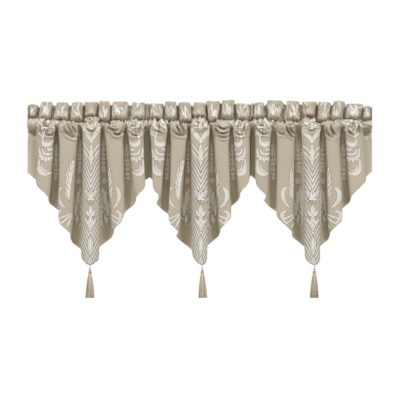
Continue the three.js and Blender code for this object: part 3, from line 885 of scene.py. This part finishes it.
def grid_faces(rows, columns):
    """Faces of a closed sheet between a front grid and the back grid that follows it, and 1 for those
    of the back."""
    f = np.arange(rows * columns).reshape(rows, columns)
    front = np.stack([f[:-1, :-1], f[1:, :-1], f[1:, 1:], f[:-1, 1:]], axis=-1).reshape(-1, 4)
    back = front[:, [0, 3, 2, 1]] + f.size
    edge = np.concatenate([f[0, :-1], f[:-1, -1], f[-1, :0:-1], f[:0:-1, 0]])
    onward = np.roll(edge, -1)
    rim = np.stack([edge, onward, onward + f.size, edge + f.size], axis=-1)
    reverse = np.concatenate([np.zeros(len(front)), np.ones(len(back)), np.zeros(len(rim))])
    return np.vstack([front, back, rim]), reverse


def make_cloth(name, valance, seed, materials):
    """Heading and panel of a valance in one sheet; the second material is for its back."""
    columns = Columns(valance)
    points, runs = cloth_rows(valance, columns)
    height = relief(valance, columns, points, runs, seed)
    points = points + surface_normals(points) * height[..., None]
    points[..., 0] += valance["x"]
    normals = surface_normals(points)
    sides = np.concatenate([points + normals * CLOTH / 2, points - normals * CLOTH / 2])
    faces, reverse = grid_faces(*runs.shape)
    fields = damask_fields(columns, runs, seed + 40)
    fields["hem"] = np.minimum(FIGURE_ZERO - runs - columns.hem, FIELD_LIMIT)
    uv = np.stack([np.broadcast_to(columns.across, runs.shape), -runs], axis=-1).reshape(-1, 2)
    return mesh_object(
        f"cloth_{name}",
        sides.reshape(-1, 3),
        faces,
        np.vstack([uv, uv]),
        {key: np.tile(values.ravel(), 2) for key, values in fields.items()},
        materials,
        reverse,
    )


def around_axis(radius, turn, height):
    """Points about the Z axis."""
    return np.stack([radius * np.cos(turn), radius * np.sin(turn), height], axis=-1)


class Bundle:
    """Collects tubes and turned shapes into one mesh."""

    def __init__(self):
        self.points, self.faces, self.uv, self.shade, self.count = [], [], [], [], 0

    def add_grid(self, grid, along, shade):
        """A grid of rings, closed around, with its ends capped by their own points."""
        rings, sides = grid.shape[:2]
        ids = self.count + np.arange(rings * sides).reshape(rings, sides)
        turned = np.roll(ids, -1, axis=1)
        walls = np.stack([ids[:-1], turned[:-1], turned[1:], ids[1:]], axis=-1)
        self.faces.append(walls.reshape(-1, 4))
        first_cap = self.count + rings * sides
        for cap, loop in ((first_cap, ids[0][::-1]), (first_cap + 1, ids[-1])):
            onward = np.roll(loop, -2)[0::2]
            middle = np.full(sides // 2, cap)
            self.faces.append(np.stack([loop[0::2], loop[1::2], onward, middle], -1))
        self.points += [grid.reshape(-1, 3), grid[0].mean(0)[None], grid[-1].mean(0)[None]]
        around = np.broadcast_to(np.arange(sides) / sides * YARN_GIRTH, (rings, sides))
        lengths = np.broadcast_to(np.asarray(along)[:, None], (rings, sides))
        self.uv.append(np.stack([around, lengths], axis=-1).reshape(-1, 2))
        self.uv.append(np.array([[0, along[0]], [0, along[-1]]], float))
        self.shade.append(np.full(rings * sides + 2, shade))
        self.count += rings * sides + 2

    def add_tube(self, path, radius, shade):
        along = unit(np.gradient(path, axis=0))
        aside = unit(np.cross(along, np.array([0.31, 0.95, 0.05])))
        other = np.cross(along, aside)
        turn = (np.arange(TUBE_SIDES) / TUBE_SIDES * TURN)[None, :, None]
        ring = np.cos(turn) * aside[:, None] + np.sin(turn) * other[:, None]
        lengths = running(np.linalg.norm(np.diff(path, axis=0), axis=1))
        self.add_grid(path[:, None] + ring * radius, lengths, shade)


def tassel_bundle(seed):
    """A tassel that hangs down from its own origin."""
    rng = np.random.default_rng(seed)
    bundle = Bundle()
    down = np.linspace(0, CORD_LENGTH, 26)
    for ply in (0, np.pi):
        turn = down / CORD_TWIST * TURN + ply
        bundle.add_tube(around_axis(CORD_PLY[0], turn, -down), CORD_PLY[1], 0.0)

    profile = through(HEAD, 5)
    turn = np.arange(HEAD_SIDES) / HEAD_SIDES * TURN
    ridges, ridge_height, slant = HEAD_RIDGES
    wound = 1 + ridge_height * np.cos(ridges * turn[None, :] + profile[:, :1] * slant)
    radius = profile[:, 1:2] * wound
    height = np.broadcast_to(-profile[:, :1], radius.shape)
    head = around_axis(radius, turn, height)
    bundle.add_grid(head[:, ::-1], profile[:, 0], HEAD_SHADE)

    turns = np.linspace(0, NECK_TURNS * TURN, 90)
    height = -mix(*NECK, turns / turns[-1])
    bundle.add_tube(around_axis(NECK_THREAD[0], turns, height), NECK_THREAD[1], 0.0)

    root = SKIRT_SPREAD[0][0]
    spread_at, spread_to = np.array(SKIRT_SPREAD).T
    even_from, even_rings = STRAND_RINGS
    for i in range(STRANDS):
        angle = i * GOLDEN_ANGLE + rng.uniform(-0.15, 0.15)
        outward = math.sqrt((i + 0.5) / STRANDS)
        length = TASSEL_LENGTH + rng.uniform(*STRAND_ENDS)
        even = np.linspace(root + even_from, length, even_rings)
        fall = np.concatenate([root + np.array(STRAND_ROOT), even])
        spread = np.interp(fall, spread_at, spread_to) * outward
        sway = (fall - root) / (length - root)
        turn = angle + rng.uniform(-0.10, 0.10) * sway
        turn = turn + 0.03 * np.sin(sway * 7 + rng.uniform(0, 6)) * sway
        spread = spread + rng.uniform(-0.5, 0.5) * sway
        radius = STRAND_RADIUS * rng.uniform(0.85, 1.15)
        bundle.add_tube(around_axis(spread, turn, -fall), radius, rng.uniform(0, 1))
    return bundle


def make_tassel(name, valance, seed, material):
    bundle = tassel_bundle(seed)
    points = np.vstack(bundle.points)
    lean = math.radians(valance["lean"])
    x, z = points[:, 0].copy(), points[:, 2].copy()
    points[:, 0] = x * math.cos(lean) - z * math.sin(lean)
    points[:, 2] = x * math.sin(lean) + z * math.cos(lean)
    middle = valance["pleats"][MIDDLE_PLEAT]
    wave = middle.front + PLEAT_CROWN * CORNER_REACH
    points += (
        valance["x"] + sum(middle.hem) / 2 + valance["crest"] * CORNER_REACH,
        -mix(*HEM_DEPTH, wave),
        POINT - PIECE_GAP,
    )
    faces = np.vstack(bundle.faces)
    shades = {"strand": np.concatenate(bundle.shade)}
    uv = np.vstack(bundle.uv)
    return mesh_object(f"yarn_{name}", points, faces, uv, shades, [material], np.zeros(len(faces)))


# Materials

class Nodes:
    """Shader nodes of one tree. A value is a number, a colour or another node's output."""

    def __init__(self, tree):
        self.tree = tree

    def feed(self, node, inputs):
        """Link or set some inputs of a node."""
        for key, value in inputs.items():
            if isinstance(value, bpy.types.NodeSocket):
                self.tree.links.new(value, node.inputs[key])
            else:
                node.inputs[key].default_value = value

    def add(self, kind, inputs, **settings):
        node = self.tree.nodes.new(kind)
        for key, value in settings.items():
            setattr(node, key, value)
        self.feed(node, inputs)
        return node

    def math(self, operation, a, b=0.0):
        return self.add("ShaderNodeMath", {0: a, 1: b}, operation=operation).outputs[0]

    def times(self, a, b):
        return self.math("MULTIPLY", a, b)

    def wave(self, value, length):
        """A sine wave of the given length along a value."""
        return self.math("SINE", self.times(value, TURN / length))

    def ramp(self, value, low, high, to_low=0.0, to_high=1.0):
        """A soft step from one value to another."""
        ends = {"From Min": low, "From Max": high, "To Min": to_low, "To Max": to_high}
        inputs = {"Value": value, **ends}
        return self.add("ShaderNodeMapRange", inputs, interpolation_type="SMOOTHSTEP").outputs[0]

    def blend(self, factor, a, b, kind="MIX"):
        inputs = {0: factor, 6: a, 7: b}
        return self.add("ShaderNodeMix", inputs, data_type="RGBA", blend_type=kind).outputs[2]

    def attribute(self, name):
        return self.add("ShaderNodeAttribute", {}, attribute_name=name).outputs["Fac"]

    def cloth_map(self):
        """The UV map, and its two values."""
        uv = self.add("ShaderNodeUVMap", {}, uv_map="cloth").outputs[0]
        split = self.add("ShaderNodeSeparateXYZ", {0: uv})
        return uv, split.outputs[0], split.outputs[1]


def new_material(name):
    material = bpy.data.materials.new(name)
    material.use_nodes = True
    tree = material.node_tree
    return material, Nodes(tree), tree.nodes["Principled BSDF"]


def woven_figures(nodes):
    """How far the white figures cover the ground, and the shade of the ground beside them."""
    motif, plume, rib = (nodes.attribute(name) for name in ("motif", "plume", "rib"))
    fullness = nodes.ramp(plume, 2, -PLUME_HALF_WIDTH, *CHEVRON_FULLNESS)
    leaves = nodes.math("ADD", nodes.wave(rib, CHEVRON_PITCH), fullness)
    fine = nodes.times(nodes.wave(rib, CHEVRON_PITCH / 3), 0.15)
    chevrons = nodes.ramp(nodes.math("ADD", leaves, fine), -0.5, 0.6, 0.05, 0.92)
    chevrons = nodes.times(chevrons, nodes.ramp(plume, 2, -PLUME_EDGE))
    chevrons = nodes.times(chevrons, nodes.ramp(motif, 0.8, 2.4))
    veins = nodes.ramp(nodes.wave(motif, VEIN_PITCH), 0.45, 0.95, 1.0, 0.35)
    solid = nodes.times(nodes.ramp(motif, 0.8, -0.8), veins)
    beside_figures = nodes.ramp(motif, 1.0, 3.2, FIGURE_EDGE_SHADE, 1.0)
    between_chevrons = nodes.ramp(plume, 2, -PLUME_EDGE, 1.0, CHEVRON_SHADE)
    shade = nodes.math("MINIMUM", beside_figures, between_chevrons)
    return nodes.math("MAXIMUM", solid, chevrons), shade


def hem_stitches(nodes, across):
    """Short stitches along the turned hem."""
    above = nodes.math("SUBTRACT", nodes.attribute("hem"), HEM_STITCHES)
    line = nodes.ramp(nodes.math("ABSOLUTE", above), 0.4, 1.1, 1.0, 0.0)
    return nodes.times(line, nodes.ramp(nodes.wave(across, STITCH_PITCH * METRE), -0.4, 0.1))


def cloth_material(name, look):
    """Satin damask. The reverse has the figures and the ground changed over, and is duller."""
    material, nodes, shader = new_material(name)
    figures, shade = woven_figures(nodes)
    uv, across, along = nodes.cloth_map()
    stitches = hem_stitches(nodes, across)

    stretch = nodes.add("ShaderNodeVectorMath", {0: uv, 1: SLUBS}, operation="MULTIPLY")
    slub_noise = {"Vector": stretch.outputs[0], "Scale": 1.0, "Detail": 3.0}
    slubs = nodes.add("ShaderNodeTexNoise", slub_noise).outputs[0]
    shade = nodes.times(shade, nodes.ramp(slubs, 0.3, 0.7, *SLUB_SHADES))
    shade = nodes.times(shade, nodes.ramp(stitches, 0, 1, 1.0, STITCH_SHADE))
    grey = nodes.add("ShaderNodeCombineColor", {0: shade, 1: shade, 2: shade}).outputs[0]
    ground = nodes.blend(1.0, look.ground, grey, "MULTIPLY")

    threads = [nodes.wave(run, pitch * METRE) for run, pitch in zip((across, along), WEAVE_PITCH)]
    weave = nodes.times(*threads)
    height = nodes.math("ADD", nodes.times(figures, 1.2), nodes.times(weave, 0.25))
    height = nodes.math("SUBTRACT", height, nodes.times(stitches, 2.0))
    bump = nodes.add("ShaderNodeBump", {"Height": height, "Strength": 0.35, "Distance": 0.0004})
    nodes.feed(shader, {
        "Base Color": nodes.blend(figures, ground, look.figure),
        "Normal": bump.outputs[0],
        "Roughness": nodes.ramp(figures, 0, 1, look.roughness, FIGURE_ROUGHNESS),
        "Sheen Weight": 0.12,
        "Sheen Tint": SHEEN_TINT,
        "Sheen Roughness": 0.45,
        "Specular IOR Level": look.specular,
    })
    return material


def yarn_material():
    """Twisted yarn, with each strand a little lighter or darker, and painted shade in the grooves of
    its twist.
    """
    material, nodes, shader = new_material("tassel_yarn")
    _, around, along = nodes.cloth_map()
    around = nodes.times(around, TURN / (YARN_GIRTH * METRE))
    along = nodes.times(along, TURN / (YARN_TWIST * METRE))
    twist = nodes.math("SINE", nodes.math("ADD", around, along))
    colour = nodes.blend(nodes.attribute("strand"), YARN_DARK, YARN_LIGHT)
    # painted shade: the yarn is darkened in the grooves of its twist
    shadow = nodes.blend(nodes.ramp(twist, -1, 0.2), YARN_GROOVE_SHADE, WHITE)
    bump = nodes.add("ShaderNodeBump", {"Height": twist, "Strength": 0.5, "Distance": 0.0003})
    nodes.feed(shader, {
        "Base Color": nodes.blend(1.0, colour, shadow, "MULTIPLY"),
        "Normal": bump.outputs[0],
        "Roughness": 0.5,
        "Sheen Weight": 0.2,
    })
    return material


def floor_material():
    material, nodes, shader = new_material("studio_floor")
    nodes.feed(shader, {"Base Color": (0.8, 0.8, 0.8, 1), "Roughness": 0.9})
    return material


# Build

damask = [cloth_material("damask_face", FACE_LOOK), cloth_material("damask_reverse", REVERSE_LOOK)]
yarn = yarn_material()

for seed, (name, valance) in enumerate(VALANCES.items(), start=11):
    cloth = make_cloth(name, valance, seed, damask)
    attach(cloth, "root")
    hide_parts(f"heading_{name}", f"panel_{name}")
    tassel = make_tassel(name, valance, seed + 20, yarn)
    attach(tassel, "root")
    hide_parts(f"tassel_{name}")

bpy.ops.mesh.primitive_plane_add(size=3.0, location=(0, 0, FLOOR))
floor = bpy.context.object
floor.name = "studio_floor"
floor.data.materials.append(floor_material())


# Light and camera

def area_light(name, place, size, power, colour):
    light = bpy.data.lights.new(name, "AREA")
    light.shape = "DISK"
    light.size = size
    light.energy = power
    light.color = colour
    lamp = new_object(name, light)
    lamp.location = place
    x, y, z = np.array(LIGHT_AIM) - np.array(place)
    tilt = math.acos(-z / math.hypot(x, y, z))
    lamp.rotation_euler = (tilt, 0, math.atan2(x, -y) + math.pi)


area_light("left_light", (-1.9, -1.6, 2.1), 0.8, 75, SIDE_COLOUR)
area_light("right_light", (1.9, -1.6, 2.1), 0.8, 75, SIDE_COLOUR)
area_light("front_light", (0, -4.2, 1.3), 2.2, 20, FRONT_COLOUR)

scene = bpy.context.scene
scene.view_settings.view_transform = "Standard"
scene.world = bpy.data.worlds.new("studio_white")
scene.world.use_nodes = True
sky = Nodes(scene.world.node_tree)
view = sky.add("ShaderNodeTexCoord", {}).outputs["Generated"]
_, back, up = sky.add("ShaderNodeSeparateXYZ", {0: view}).outputs
glow = sky.ramp(back, -0.1, 0.6, ROOM_GLOW, 1.0)
low_glow = sky.ramp(up, -0.8, -0.15, LOW_GLOW, 1.0)
sky.feed(sky.tree.nodes["Background"], {
    "Color": sky.blend(sky.ramp(back, -0.1, 0.6), ROOM_COLOUR, WHITE),
    "Strength": sky.times(glow, low_glow),
})

camera = bpy.data.cameras.new("photo_camera")
camera.sensor_width = SENSOR
camera.lens = SENSOR * CAMERA_DISTANCE / PHOTO_WIDTH
camera.clip_end = 5 * CAMERA_DISTANCE
eye = new_object("photo_camera", camera)
eye.location = (PHOTO_CENTRE[0], -CAMERA_DISTANCE - CLOTH_FRONT, PHOTO_CENTRE[1])
eye.rotation_euler = (math.pi / 2, 0, 0)
scene.camera = eye
